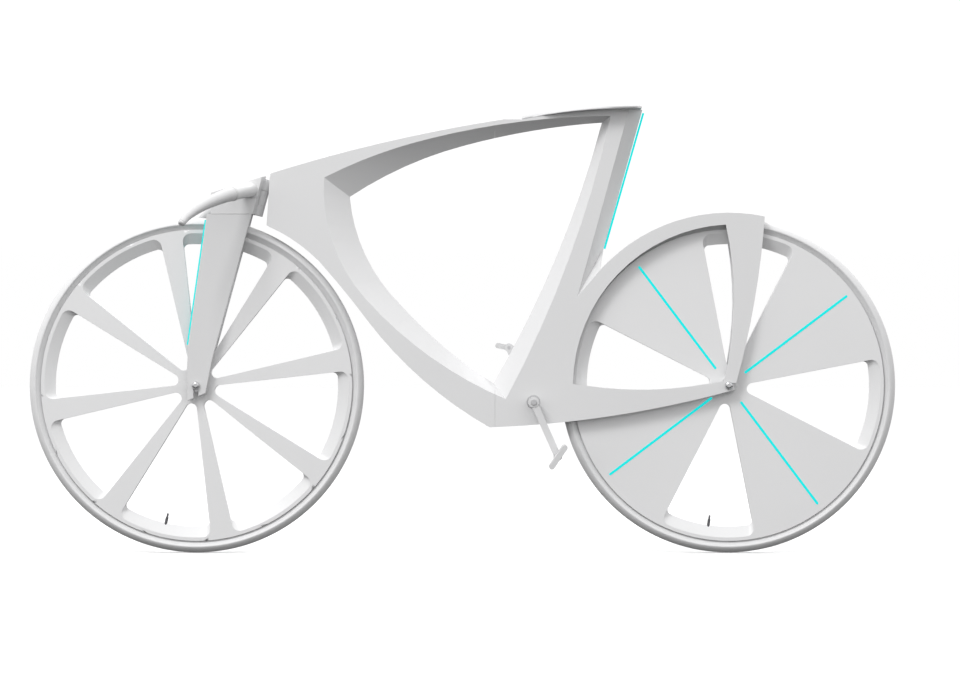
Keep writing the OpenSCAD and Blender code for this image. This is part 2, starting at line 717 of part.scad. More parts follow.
// Each valve stands in the middle of the lowest opening.
front_valve_angle = front_opening_start - 135;
rear_valve_angle = rear_opening_start - 90;
valve_r = 3;

module tyre(at) {
    centre = tyre_r - tyre_w / 2;
    wall = 3;
    translate([at[0], 0, at[1]]) rotate([-90, 0, 0]) rotate_extrude($fn = 128) intersection() {
        difference() {
            union() {
                translate([centre, 0]) circle(tyre_w / 2);
                translate([rim_r, -disc_w / 2 + 0.5]) square([centre - rim_r, disc_w - 1]);
            }
            translate([centre, 0]) circle(tyre_w / 2 - wall);
            translate([rim_r - 10, -disc_w / 2 + 4]) square([centre - rim_r + 10, disc_w - 8]);
        }
        translate([rim_r, -tyre_w]) square([40, 2 * tyre_w]);
    }
}

module bearings(at) {
    both_sides() ring_y(at, bearing_r, axle_r + running_gap, -hub_half_w, -hub_half_w + bearing_w);
}

module valve(at, valve_angle) {
    translate([at[0], 0, at[1]]) rotate([0, 90 - valve_angle, 0]) {
        translate([0, 0, ridge_r - 20]) cylinder(r = valve_r - 1, h = 8);
        translate([0, 0, ridge_r - 12]) cylinder(r = valve_r, h = 12 + rim_r - ridge_r - 6);
    }
}

module front_wheel() color([0.88, 0.88, 0.89]) wheel_disc(front, front_angles, front_valve_angle);
module rear_wheel() color([0.82, 0.82, 0.83]) difference() {
    wheel_disc(rear, rear_angles, rear_valve_angle);
    light_bars(0.5);
}
module front_tyre() color([0.78, 0.78, 0.79]) tyre(front);
module rear_tyre() color([0.78, 0.78, 0.79]) tyre(rear);
module front_bearings() color([0.45, 0.46, 0.48]) bearings(front);
module rear_bearings() color([0.45, 0.46, 0.48]) bearings(rear);
module front_valve() color([0.30, 0.31, 0.33]) valve(front, front_valve_angle);
module rear_valve() color([0.30, 0.31, 0.33]) valve(rear, rear_valve_angle);

light_bar = [44, 300];
light_bar_w = 5;
light_bar_depth = 1.5;

// Four light bars on each side of the rear wheel, one along the middle of every solid part.
module light_bars(proud) {
    both_sides() plate(-disc_w / 2 - proud, -disc_w / 2 + light_bar_depth) translate(rear)
        for (t = rear_angles) rotate(t + 45) {
            translate([light_bar[0], -light_bar_w / 2]) square([light_bar[1] - light_bar[0], light_bar_w]);
            for (r = light_bar) translate([r, 0]) circle(light_bar_w / 2, $fn = 24);
        }
}

module wheel_lights() color([0.10, 0.92, 0.90]) light_bars(0);

// ---- crank, pedals and hidden drive ----

crank_dir = [cos(crank_phase), sin(crank_phase)];
left_pedal = crank + crank_len * crank_dir;
right_pedal = crank - crank_len * crank_dir;
crank_tip = crank_arm_y + crank_arm_t - 2;
pedal_y = crank_arm_y + crank_arm_t + 2;

module crank_axle() color([0.45, 0.46, 0.48]) bar_y(crank, crank_axle_r, -crank_tip, crank_tip);

// A crank arm on the left side, from the crank axle to a pedal axle.
module crank_arm(pedal) {
    difference() {
        union() {
            bar_y(crank, 11, -crank_arm_y - crank_arm_t, -crank_arm_y);
            bar_y(pedal, 9, -crank_arm_y - crank_arm_t, -crank_arm_y);
            d = (pedal - crank) / norm(pedal - crank);
            n = [-d[1], d[0]] * crank_arm_w / 2;
            plate(-crank_arm_y - crank_arm_t + 1, -crank_arm_y)
                polygon([crank + n, crank - n, pedal - n, pedal + n]);
        }
        bar_y(crank, crank_axle_r, -crank_tip, -crank_arm_y + 1);
        bar_y(crank, 4, -crank_arm_y - 20, -crank_arm_y);
        bar_y(pedal, pedal_axle_r, -crank_arm_y - 20, -crank_arm_y + 1);
    }
}

module crank_arm_left() color([0.84, 0.84, 0.85]) crank_arm(left_pedal);
module crank_arm_right() color([0.84, 0.84, 0.85]) mirror([0, 1, 0]) crank_arm(right_pedal);

module crank_bolts() color([0.70, 0.71, 0.73]) both_sides() {
    bar_y(crank, 4, -crank_arm_y - crank_arm_t, -crank_tip);
    bar_y(crank, 6, -crank_arm_y - crank_arm_t - 3, -crank_arm_y - crank_arm_t);
}

module pedal_axles() color([0.45, 0.46, 0.48]) {
    bar_y(left_pedal, pedal_axle_r, -pedal_y - pedal_w + 6, -crank_arm_y);
    bar_y(right_pedal, pedal_axle_r, crank_arm_y, pedal_y + pedal_w - 6);
}

// A flat bar pedal with round edges, tilted about its axle.
module pedal(at, tilt) {
    r = pedal_t / 2;
    reach = pedal_len / 2 - r;
    difference() {
        plate(-pedal_y - pedal_w, -pedal_y) translate(at) rotate(tilt) union() {
            square([2 * reach, 2 * r], center = true);
            for (x = [-reach, reach]) translate([x, 0]) circle(r, $fn = 32);
        }
        bar_y(at, pedal_axle_r + running_gap, -pedal_y - pedal_w + 5.5, -pedal_y + 1);
    }
}

module pedal_left() color([0.86, 0.86, 0.87]) pedal(left_pedal, 56);
module pedal_right() color([0.86, 0.86, 0.87]) mirror([0, 1, 0]) pedal(right_pedal, -11);

module crank_gear() color([0.60, 0.61, 0.63])
    ring_y(crank, crank_gear_r, crank_axle_r, shaft_y + pinion_r + flat_fit, half_w + 3);

module drive_shaft() color([0.60, 0.61, 0.63])
    along_shaft(shaft_r, crank_axle_r + 3, shaft_len - axle_r - 3);

module shaft_pinions() color([0.70, 0.55, 0.30]) {
    for (s = [[crank_axle_r + 4, crank_gear_r], [shaft_len - hub_gear_r + 1, shaft_len - axle_r - 4]])
        difference() {
            along_shaft(pinion_r, s[0], s[1]);
            along_shaft(shaft_r, s[0] - 1, s[1] + 1);
        }
}

module hub_gear() color([0.60, 0.61, 0.63])
    ring_y(rear, hub_gear_r, axle_r + 2 + running_gap, hub_half_w + 0.3, stay_y - flat_fit);

rear_frame();
seat_base();
seat_pad();
mast_light();
light_battery();
crank_bearings();
drive_cover();
shaft_bushes();
rear_axle();
rear_axle_nuts();
fold_pins();
front_frame();
steering_bushes();
latch_bolt();
latch_knob();
steering_pin();
stem_block();
crown_block();
stem_bolts();
crown_bolts();
fork_blade_left();
fork_blade_right();
fork_light_left();
fork_light_right();
front_axle();
front_axle_nuts();
handlebar_left();
handlebar_right();
grip_left();
grip_right();
bar_end_plugs();
front_wheel();
front_tyre();
front_bearings();
front_valve();
rear_wheel();
rear_tyre();
rear_bearings();
rear_valve();
wheel_lights();
crank_axle();
crank_arm_left();
crank_arm_right();
crank_bolts();
crank_gear();
pedal_axles();
pedal_left();
pedal_right();
drive_shaft();
shaft_pinions();
hub_gear();
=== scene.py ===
import math

import bmesh
import bpy
import numpy as np
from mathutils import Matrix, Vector


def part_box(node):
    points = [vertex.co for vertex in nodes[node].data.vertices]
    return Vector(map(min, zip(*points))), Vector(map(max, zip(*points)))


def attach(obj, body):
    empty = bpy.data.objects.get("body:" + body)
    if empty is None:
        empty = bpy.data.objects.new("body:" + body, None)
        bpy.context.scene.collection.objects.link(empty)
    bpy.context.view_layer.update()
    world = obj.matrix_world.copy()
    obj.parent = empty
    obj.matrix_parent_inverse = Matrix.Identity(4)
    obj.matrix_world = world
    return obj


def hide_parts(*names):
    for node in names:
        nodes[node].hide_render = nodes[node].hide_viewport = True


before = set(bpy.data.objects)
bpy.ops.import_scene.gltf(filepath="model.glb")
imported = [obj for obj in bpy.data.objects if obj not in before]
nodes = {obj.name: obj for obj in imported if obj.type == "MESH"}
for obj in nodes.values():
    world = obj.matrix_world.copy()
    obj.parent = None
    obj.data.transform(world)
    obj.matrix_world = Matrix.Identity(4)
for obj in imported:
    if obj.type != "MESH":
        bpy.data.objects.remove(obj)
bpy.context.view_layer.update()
MM = 0.001


# ---- Painted frame halves ----
# The frame is a moulded carbon shell, 64 mm wide, painted satin white. Its two halves meet at the
# fold, and every edge is broken by about a millimetre so that it catches a bright line of light.

class Wire:
    """A shader value that Python operators combine; each operator adds its Math node."""

    def __init__(self, graph, socket):
        self.graph, self.socket = graph, socket

    def math(self, operation, other):
        return self.graph.add("ShaderNodeMath", {"operation": operation}, {0: self, 1: other})

    def __add__(self, other):
        return self.math("ADD", other)

    def __mul__(self, other):
        return self.math("MULTIPLY", other)

    __radd__ = __add__
    __rmul__ = __mul__


class Graph:
    """A tree of shader nodes, all made by one method."""

    def __init__(self, tree):
        self.tree = tree

    def add(self, kind, settings=None, sockets=None, out=0):
        """Adds a node: its settings first, then its sockets by place or by name."""
        node = self.tree.nodes.new(kind)
        for key, value in (settings or {}).items():
            setattr(node, key, value)
        for key, value in (sockets or {}).items():
            self.feed(node.inputs[key], value)
        return Wire(self, node.outputs[out])

    def feed(self, socket, value):
        if isinstance(value, Wire):
            self.tree.links.new(value.socket, socket)
        else:
            socket.default_value = value


class Shade(Graph):
    """One material on a Principled shader; constants go straight on the shader's sockets."""

    def __init__(self, name, colour, roughness, **constants):
        self.material = bpy.data.materials.new(name)
        self.material.use_nodes = True
        super().__init__(self.material.node_tree)
        self.shader = self.tree.nodes["Principled BSDF"]
        self.colour = colour
        self.set("Base Color", (*colour, 1))
        self.set("Roughness", roughness)
        for socket, value in constants.items():
            self.set(socket.replace("_", " "), value)

    def set(self, socket, value):
        self.feed(self.shader.inputs[socket], value)

    def place(self):
        """The point on the piece, in metres."""
        return self.add("ShaderNodeTexCoord", out="Object")

    def noise(self, scale, detail, place=None):
        """Cloudy noise from 0 to 1, with so many cells in a metre."""
        return self.add("ShaderNodeTexNoise", {"noise_dimensions": "3D"},
                        {"Vector": place or self.place(), "Scale": scale, "Detail": detail,
                         "Roughness": 0.5}, out="Fac")

    def cells(self, scale):
        """Distance from the middle of the nearest of many small cells."""
        return self.add("ShaderNodeTexVoronoi", sockets={"Vector": self.place(), "Scale": scale},
                        out="Distance")

    def stretch(self, x, y, z):
        """The point on the piece, scaled on each axis."""
        return self.add("ShaderNodeMapping", sockets={0: self.place(), "Scale": (x, y, z)})

    def mix(self, mask, low, high):
        """A colour between two colours, by a mask from 0 to 1."""
        return self.add("ShaderNodeMix", {"data_type": "RGBA"}, {0: mask, 6: low, 7: high}, out=2)

    def vary(self, mask, darkest, lightest):
        """Lets the piece's own colour wander between two factors of itself."""
        self.set("Base Color", self.mix(mask, tint(self.colour, darkest), tint(self.colour, lightest)))

    def bump(self, height, distance, strength):
        """Raises the surface by height times distance, in metres."""
        self.set("Normal", self.add("ShaderNodeBump", sockets={
            "Strength": strength, "Distance": distance, "Height": height}))


def tint(colour, factor):
    return (*[min(1.0, c * factor) for c in colour], 1)


def white_paint(name, colour, roughness=0.38):
    """Satin paint: broad faint clouding, a fine orange-peel skin and slightly uneven gloss."""
    paint = Shade(name, colour, roughness, Specular_IOR_Level=0.45, Coat_Weight=0.12,
                  Coat_Roughness=0.22)
    cloud = paint.noise(7, 3)
    speck = paint.noise(900, 1)
    paint.vary(cloud * 0.7 + speck * 0.3, 0.975, 1.025)
    paint.set("Roughness", paint.noise(45, 3) * 0.10 + (roughness - 0.05))
    paint.bump(paint.noise(420, 2) * 0.7 + paint.noise(60, 1) * 0.3, 0.00012, 0.35)
    return paint.material


frame_paint = white_paint("frame_paint", (0.735, 0.735, 0.74))


def shade_round(work, limit):
    """Shades every face as round, and leaves hard the edges that are sharper than the limit."""
    for face in work.faces:
        face.smooth = True
    for side in work.edges:
        side.smooth = not (side.is_manifold and side.calc_face_angle(0) > limit)


def place_piece(name, mesh, material, edge, limit, clamp):
    """Puts a mesh in the scene in one material; a narrow bevel of edge mm rounds its hard edges."""
    mesh.materials.clear()
    mesh.materials.append(material)
    piece = bpy.data.objects.new(name, mesh)
    bpy.context.scene.collection.objects.link(piece)
    if edge:
        bevel = piece.modifiers.new("edges", "BEVEL")
        bevel.width = edge * MM
        bevel.segments = 2
        bevel.limit_method = "ANGLE"
        bevel.angle_limit = limit
        bevel.use_clamp_overlap = clamp
    return piece


def finished_copy(node, name, body, material, edge=0.9, sharp=16, clamp=True):
    """The CAD piece with its flat triangles joined into faces and its sharp edges rounded.

    The weighted normals then keep the flat faces looking flat."""
    mesh = nodes[node].data.copy()
    mesh.name = name
    work = bmesh.new()
    work.from_mesh(mesh)
    bmesh.ops.remove_doubles(work, verts=work.verts, dist=2e-6)
    bmesh.ops.dissolve_limit(work, angle_limit=math.radians(0.4), verts=work.verts, edges=work.edges)
    bmesh.ops.dissolve_degenerate(work, edges=work.edges, dist=1e-4)
    shade_round(work, math.radians(sharp))
    work.to_mesh(mesh)
    work.free()
    piece = place_piece(name, mesh, material, edge, math.radians(sharp), clamp)
    piece.modifiers.new("normals", "WEIGHTED_NORMAL").weight = 90
    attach(piece, body)
    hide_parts(node)
    return piece


finished_copy("rear_frame", "rear_frame_shell", "rear_half", frame_paint)
finished_copy("front_frame", "front_frame_shell", "front_half", frame_paint)
finished_copy("drive_cover", "drive_cover_cap", "rear_half", frame_paint, 0.8)


# ---- Wheel discs ----
# Each wheel is one moulded disc, 24 mm thick, with a flat rim band from 309 to 316 mm radius. The
# openings have straight sides and a round nose at the hub; their outer end slopes in from both
# faces to a ridge at 287 mm.

def new_piece(name, points, faces, body, material, smooth, double=1e-6, edge=0):
    """Makes a piece from arrays of points and faces, merges its doubles and faces it outwards.

    smooth is the sharpest angle in degrees that is still shaded as round."""
    mesh = bpy.data.meshes.new(name)
    mesh.from_pydata(np.asarray(points).tolist(), [], [list(map(int, f)) for f in faces])
    work = bmesh.new()
    work.from_mesh(mesh)
    bmesh.ops.remove_doubles(work, verts=work.verts, dist=double)
    bmesh.ops.dissolve_degenerate(work, edges=work.edges, dist=double)
    bmesh.ops.recalc_face_normals(work, faces=work.faces)
    shade_round(work, math.radians(smooth))
    work.to_mesh(mesh)
    work.free()
    piece = place_piece(name, mesh, material, edge, math.radians(smooth), False)
    if edge:
        piece.modifiers["edges"].harden_normals = True
    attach(piece, body)
    return piece


def grid_faces(rows, columns, closed_rows=False, closed_columns=False, start=0):
    """Quads that join neighbouring points of a rows by columns grid."""
    i, j = np.meshgrid(np.arange(rows - (not closed_rows)), np.arange(columns - (not closed_columns)),
                       indexing="ij")
    i, j = i.ravel(), j.ravel()
    k, m = (i + 1) % rows, (j + 1) % columns
    return (np.stack([i * columns + j, i * columns + m, k * columns + m, k * columns + j], 1) + start)


def revolve(profile, centre, steps, closed=True):
    """Turns a profile of (radius, y) in mm about a wheel's axle; returns points and faces."""
    profile = np.asarray(profile, float)
    turn = np.linspace(0, 2 * np.pi, steps, endpoint=False)[:, None]
    r, y = profile[:, 0], profile[:, 1]
    points = np.stack([centre[0] + r * np.cos(turn), y + 0 * turn, centre[1] + r * np.sin(turn)], -1)
    return points.reshape(-1, 3) * MM, grid_faces(steps, len(profile), True, closed)


AXLE_Z = 340.0
FRONT = (-540.0, AXLE_Z)
REAR = (540.0, AXLE_Z)
DISC_HALF = 12.0
RIM_R, BAND_R, RIDGE_R = 316.0, 309.0, 287.0
RIDGE_HALF = 1.2
BAND_CORNER_R, RIDGE_CORNER_R = 16.0, 10.0
RIM_LIP_Y, TYRE_BED_R, TYRE_BED_HALF = 9.0, 310.0, 7.0
HUB_DISC_R, BARREL_R, BARREL_HALF = 38.0, 17.0, 15.0
BEARING_SEAT_R, BEARING_SEAT_Y, AXLE_HOLE_R = 13.0, 7.0, 7.0
HALF_ANGLE, SIDE_INSET = math.radians(19), 4.5
RING_STEPS = 19  # steps of the rim bed and the hub in half a sector


def opening_outline(outer_r, corner_r, nose_n=10, side_n=10, corner_n=10, arc_n=10):
    """Half of an opening, from the nose's tip along the side to the middle of the outer arc.

    The nose is an arc that touches both straight sides, and the corner an arc that touches the side
    and the outer arc. Returns the points and how many belong to each stretch."""
    s, c = math.sin(HALF_ANGLE), math.cos(HALF_ANGLE)
    nose_r = (HUB_DISC_R - SIDE_INSET / s) * s / (1 - s)
    t = np.linspace(np.pi, np.pi / 2 + HALF_ANGLE, nose_n)
    nose = np.stack([HUB_DISC_R + nose_r + nose_r * np.cos(t), nose_r * np.sin(t)], 1)
    reach = math.sqrt((outer_r - corner_r) ** 2 - (SIDE_INSET + corner_r) ** 2)
    middle = reach * np.array([c, s]) + (SIDE_INSET + corner_r) * np.array([s, -c])
    out = math.atan2(middle[1], middle[0])
    t = np.linspace(np.pi / 2 + HALF_ANGLE, out, corner_n)
    corner = middle + corner_r * np.stack([np.cos(t), np.sin(t)], 1)
    side = nose[-1] + (corner[0] - nose[-1]) * np.linspace(0, 1, side_n)[1:-1, None]
    t = np.linspace(out, 0, arc_n)[1:]
    arc = outer_r * np.stack([np.cos(t), np.sin(t)], 1)
    return np.concatenate([nose, side, corner, arc]), (nose_n, side_n - 2, corner_n, arc_n - 1)


def sector_border(counts, half_period):
    """Points of the sector's border that face the outline's points, from the hub round to the rim."""
    nose_n, side_n, corner_n, arc_n = counts
    t = np.linspace(0, half_period, nose_n)
    hub = BARREL_R * np.stack([np.cos(t), np.sin(t)], 1)
    r = np.linspace(BARREL_R, RIM_R, side_n + 2)[1:-1, None]
    spoke = r * np.array([[math.cos(half_period), math.sin(half_period)]])
    t = np.linspace(half_period, 0, corner_n + arc_n)
    rim = RIM_R * np.stack([np.cos(t), np.sin(t)], 1)
    return np.concatenate([hub, spoke, rim])


def wheel_disc(centre, angles):
    """The flat faces of a disc and the walls of its openings, as points, faces and a point count.

    The faces are a grid between the opening's outline and the sector's border; the walls are a grid
    between the face outline, the ridge outline and the other face's outline."""
    half_period = math.pi / len(angles)
    face_line, counts = opening_outline(BAND_R, BAND_CORNER_R)
    ridge_line, _ = opening_outline(RIDGE_R, RIDGE_CORNER_R)
    border = sector_border(counts, half_period)
    n = len(face_line)
    points, faces, total = [], [], 0

    def take(rows):
        nonlocal total
        grid = np.stack(rows)
        points.append(grid.reshape(-1, 3))
        faces.append(grid_faces(grid.shape[0], grid.shape[1], start=total))
        total += grid.shape[0] * grid.shape[1]

    def at(line, y, angle, mirrored):
        x, z = line[:, 0], line[:, 1] * (-1 if mirrored else 1)
        c, s = math.cos(angle), math.sin(angle)
        return np.stack([centre[0] + x * c - z * s, np.full(n, y), centre[1] + x * s + z * c], 1) * MM

    for angle in np.radians(angles):
        for mirrored in (False, True):
            for y in (-DISC_HALF, DISC_HALF):
                take([at(face_line + (border - face_line) * k, y, angle, mirrored)
                      for k in (0, 0.5, 1)])
            take([at(line, y, angle, mirrored)
                  for line, y in ((face_line, -DISC_HALF), (ridge_line, -RIDGE_HALF),
                                  (ridge_line, RIDGE_HALF), (face_line, DISC_HALF))])
    return points, faces, total


def hub_and_rim(centre, steps):
    """Open revolved strips: the rim's outer bed and the stepped hub with its two bearing seats.

    Each profile is given for one side and mirrored to the other."""
    bed = [[RIM_R, -DISC_HALF], [RIM_R, -RIM_LIP_Y], [TYRE_BED_R, -TYRE_BED_HALF]]
    hub = [[BARREL_R, -DISC_HALF], [BARREL_R, -BARREL_HALF], [BEARING_SEAT_R, -BARREL_HALF],
           [BEARING_SEAT_R, -BEARING_SEAT_Y], [AXLE_HOLE_R, -BEARING_SEAT_Y]]
    return [revolve(np.concatenate([half, half[::-1] * np.array([1, -1])]), centre, steps, False)
            for half in (np.array(bed), np.array(hub))]


def make_wheel(name, node, centre, angles, body, material):
    points, faces, total = wheel_disc(centre, angles)
    for strip_points, strip_faces in hub_and_rim(centre, 2 * len(angles) * RING_STEPS):
        points.append(strip_points)
        faces.append(strip_faces + total)
        total += len(strip_points)
    piece = new_piece(name, np.concatenate(points), np.concatenate(faces), body, material,
                      smooth=18, double=2e-5, edge=0.5)
    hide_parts(node)
    return piece


wheel_paint = white_paint("wheel_paint", (0.77, 0.77, 0.775))
disc_paint = white_paint("disc_paint", (0.79, 0.79, 0.795), 0.45)
front_angles = [32.3 + 45 * i for i in range(8)]
rear_angles = [-8 + 90 * i for i in range(4)]
make_wheel("front_disc", "front_wheel", FRONT, front_angles, "wheel_front", wheel_paint)
make_wheel("rear_disc", "rear_wheel", REAR, rear_angles, "wheel_rear", disc_paint)


# ---- Tyres ----
# Slick 28 mm tyres in matt white rubber, seated on the rim. Each has a fine step low on its wall,
# a soft shoulder and a pointed crown, and its skin is finely pebbled.

def tyre_rubber(name):
    rubber = Shade(name, (0.74, 0.74, 0.745), 0.62, Specular_IOR_Level=0.35)
    rubber.vary(rubber.noise(60, 4), 0.95, 1.04)
    rubber.set("Roughness", rubber.noise(150, 3) * 0.15 + 0.52)
    rubber.bump(rubber.noise(1400, 2), 0.0002, 0.4)
    return rubber.material


def tyre_profile():
    """Half a section from bead to crown in (radius, y): a straight lower wall with a fine step,
    a soft shoulder at 327.8 mm and a pointed crown; the other half mirrors it."""
    half = np.array([
        [313, 4.0], [313, 6.2], [316.6, 6.6], [317.4, 7.2], [320.4, 9.4], [323.4, 11.5], [323.8, 11.5],
        [324.3, 12.1], [326.2, 13.4], [327.0, 13.85], [327.8, 14.0], [328.6, 13.85], [330, 13.2],
        [332, 12.0], [334, 10.3], [336, 8.1], [337.5, 6.1], [338.8, 4.0], [339.6, 2.2], [340, 0.0]])
    return np.concatenate([half, half[-2::-1] * [1, -1]])


TYRE_STEPS = 240
rubber_paint = tyre_rubber("tyre_rubber")
for name, node, centre, body in (("front_tread", "front_tyre", FRONT, "wheel_front"),
                                 ("rear_tread", "rear_tyre", REAR, "wheel_rear")):
    tyre = new_piece(name, *revolve(tyre_profile(), centre, TYRE_STEPS), body, rubber_paint, smooth=24)
    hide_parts(node)


# ---- Light strips ----
# Clear covers over cyan light strips: on the back of the seat mast, on the front of both fork
# blades, and four bars on each face of the rear wheel, each 5 mm wide and half a millimetre proud.

def glow(name, strength):
    light = Shade(name, (0.004, 0.20, 0.195), 0.55, Specular_IOR_Level=0.12,
                  Emission_Strength=strength)
    cells = light.noise(240, 1)
    light.set("Base Color", light.mix(cells, (0.004, 0.18, 0.175, 1), (0.004, 0.22, 0.215, 1)))
    light.set("Emission Color", light.mix(cells, (0.003, 0.58, 0.57, 1), (0.006, 0.72, 0.70, 1)))
    return light.material


strip_glow = glow("strip_glow", 1.0)
for node, body in (("mast_light", "rear_half"), ("fork_light_left", "steering"),
                   ("fork_light_right", "steering")):
    finished_copy(node, node + "_strip", body, strip_glow, 0.6)


BAR_HALF, BAR_FROM_R, BAR_TO_R = 2.5, 44.0, 300.0


def light_bars():
    """Eight long pads with round ends, as rings that step inwards and outwards from the disc.

    The rise from the edge to the middle is rounded, and the first ring lies inside the disc."""
    points, faces, total = [], [], 0
    t = np.linspace(0, 2 * np.pi, 48, endpoint=False)
    for face_side in (-1, 1):
        for angle in np.radians(np.array(rear_angles) + 45):
            rows = []
            for inset, lift in ((0, -1.3), (0, 0.25), (0.25, 0.45), (0.8, 0.55), (BAR_HALF, 0.58)):
                k = BAR_HALF - inset
                u = np.where(np.cos(t) > 0, BAR_TO_R, BAR_FROM_R) + k * np.cos(t)
                v = k * np.sin(t)
                x = REAR[0] + u * math.cos(angle) - v * math.sin(angle)
                z = REAR[1] + u * math.sin(angle) + v * math.cos(angle)
                rows.append(np.stack([x, np.full(len(t), face_side * (DISC_HALF + lift)), z], 1))
            points.append(np.concatenate(rows) * MM)
            faces.append(grid_faces(len(rows), len(t), False, True, total))
            total += len(rows) * len(t)
    return np.concatenate(points), np.concatenate(faces)


bars = new_piece("wheel_light_bars", *light_bars(), "wheel_rear", strip_glow, smooth=50)
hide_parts("wheel_lights")


# ---- Stem, crown and fork ----
# Machined blocks and tapered plates, painted like the frame, with crisp edges.

fork_paint = white_paint("fork_paint", (0.69, 0.69, 0.695))
for node, word, paint in (("stem_block", "body", frame_paint), ("crown_block", "body", frame_paint),
                          ("fork_blade_left", "plate", fork_paint),
                          ("fork_blade_right", "plate", fork_paint)):
    finished_copy(node, f"{node}_{word}", "steering", paint, 1.1, clamp=False)


# ---- Handlebars and grips ----
# Each bar leaves the stem block as a thick neck and sweeps out, forward and down. A soft rubber
# sleeve with a raised collar covers it, and a plug closes its end.

BAR_ROOT = np.array([-430.0, -32.0, 736.0])
BAR_TIP = np.array([-558.0, -200.0, 661.0])
BAR_PULL = (BAR_ROOT + [-15, -68, -2], BAR_TIP + [18, 31, 41])
NECK_R, GRIP_R, GRIP_END_R = (15.2, 14.2), 14.5, 7.5
GRIP_FROM, GRIP_TO = 0.30, 0.97


def bar_line(t, side):
    """A cubic Bezier curve in mm from the root to the tip; side -1 is at negative Y, 1 at positive."""
    t = np.asarray(t, float)[:, None]
    line = ((1 - t) ** 3 * BAR_ROOT + 3 * t * (1 - t) ** 2 * BAR_PULL[0]
            + 3 * t * t * (1 - t) * BAR_PULL[1] + t ** 3 * BAR_TIP)
    return line * [1, -side, 1]


def tube(t, radius, side, sides=48):
    """A tube of changing radius carried along the bar line, with one face across each end.

    Each ring is cos(a) u + sin(a) v, where u is level and both are square to the line."""
    line = bar_line(t, side)
    ahead = bar_line(np.asarray(t) + 0.002, side) - bar_line(np.asarray(t) - 0.002, side)
    ahead /= np.linalg.norm(ahead, axis=1, keepdims=True)
    u = np.cross(ahead, [0, 0, 1.0])
    u /= np.linalg.norm(u, axis=1, keepdims=True)
    v = np.cross(u, ahead)
    a = np.linspace(0, 2 * np.pi, sides, endpoint=False)
    ring = np.cos(a)[None, :, None] * u[:, None] + np.sin(a)[None, :, None] * v[:, None]
    points = line[:, None] + np.asarray(radius, float)[:, None, None] * ring
    ends = [range(sides), range((len(t) - 1) * sides, len(t) * sides)]
    return points.reshape(-1, 3) * MM, [*grid_faces(len(t), sides, False, True), *ends]


def grip_rubber():
    rubber = Shade("grip_rubber", (0.66, 0.66, 0.665), 0.55, Specular_IOR_Level=0.35)
    rubber.vary(rubber.noise(80, 3), 0.96, 1.03)
    rubber.set("Roughness", rubber.noise(200, 2) * 0.15 + 0.45)
    rubber.bump(rubber.cells(420.0), 0.0003, 0.5)
    return rubber.material


rubber_grip = grip_rubber()
for side, word in ((1, "left"), (-1, "right")):
    t = np.linspace(-0.02, GRIP_FROM, 16)
    neck = new_piece(f"bar_neck_{word}", *tube(t, np.linspace(*NECK_R, 16), side), "steering",
                     frame_paint, smooth=40, edge=0.8)
    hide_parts(f"handlebar_{word}")
    t = np.concatenate([[0.301, 0.304, 0.318, 0.322], np.linspace(0.33, 0.965, 60), [0.969]])
    taper = GRIP_R - (GRIP_R - GRIP_END_R) * (t - GRIP_FROM) / (GRIP_TO - GRIP_FROM)
    taper[:3] += [0.3, 1.0, 1.0]
    taper[-1] -= 0.8
    grip = new_piece(f"bar_grip_{word}", *tube(t, taper, side), "steering", rubber_grip, smooth=40)
    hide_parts(f"grip_{word}")

for side, word in ((1, "left"), (-1, "right")):
    t, radius = np.transpose([[0.9705, 7.0], [0.975, 7.4], [0.985, 7.0], [0.993, 6.0], [0.998, 4.0]])
    plug = new_piece(f"bar_plug_{word}", *tube(t, radius, side), "steering", rubber_grip, smooth=50)
    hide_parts("bar_end_plugs")


# ---- Saddle ----
# A thin padded saddle on a stiff white shell: soft white cover over foam, crowned across its width,
# with a seam groove just inside its edge and a shallow channel along the middle.

pad_low, pad_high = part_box("seat_pad")
SEAT_START, SEAT_LENGTH = pad_low[0] / MM, (pad_high[0] - pad_low[0]) / MM
NOSE_HALF, FLARE_HALF, FLARE_AT, FLARE_RATE = 20, 46, 0.45, 11.5
NOSE_PART, BACK_PART = 0.075, 0.07
UNDER_NOSE_Z, UNDER_BACK_Z, UNDER_SAG, UNDER_LENGTH = 881.5, 902.5, 4.5, 222
EDGE_RISE, PAD_RISE, CROWN = 1.2, 5.6, 0.9
SEAM_AT, SEAM_DEPTH, CHANNEL_DEPTH = 0.88, 0.5, 1.1


def part_of(x, start, length):
    """How far x has come along a stretch, from 0 at its start to 1 at its end."""
    return np.clip((x - start) / length, 0, 1)


def saddle_half_width(x):
    """Half width in mm, x running from 0 at the nose to 1 at the back.

    A quarter round at the nose, plus a logistic flare, times a rounded back."""
    nose = NOSE_HALF * np.sqrt(1 - (1 - part_of(x, 0, NOSE_PART)) ** 2)
    flare = (FLARE_HALF / (1 + np.exp((FLARE_AT - x) * FLARE_RATE))
             - FLARE_HALF / (1 + np.exp(FLARE_AT * FLARE_RATE)))
    return (nose + flare) * np.sqrt(1 - 0.75 * part_of(x, 1 - BACK_PART, BACK_PART) ** 2)


def saddle_height(x):
    """Height in mm of the pad's underside: a straight rise plus a parabola, along the frame's top."""
    along = part_of(x * SEAT_LENGTH, 0, UNDER_LENGTH)
    return (UNDER_NOSE_Z + (UNDER_BACK_Z - UNDER_NOSE_Z) * along
            + 4 * UNDER_SAG * along * (1 - along))


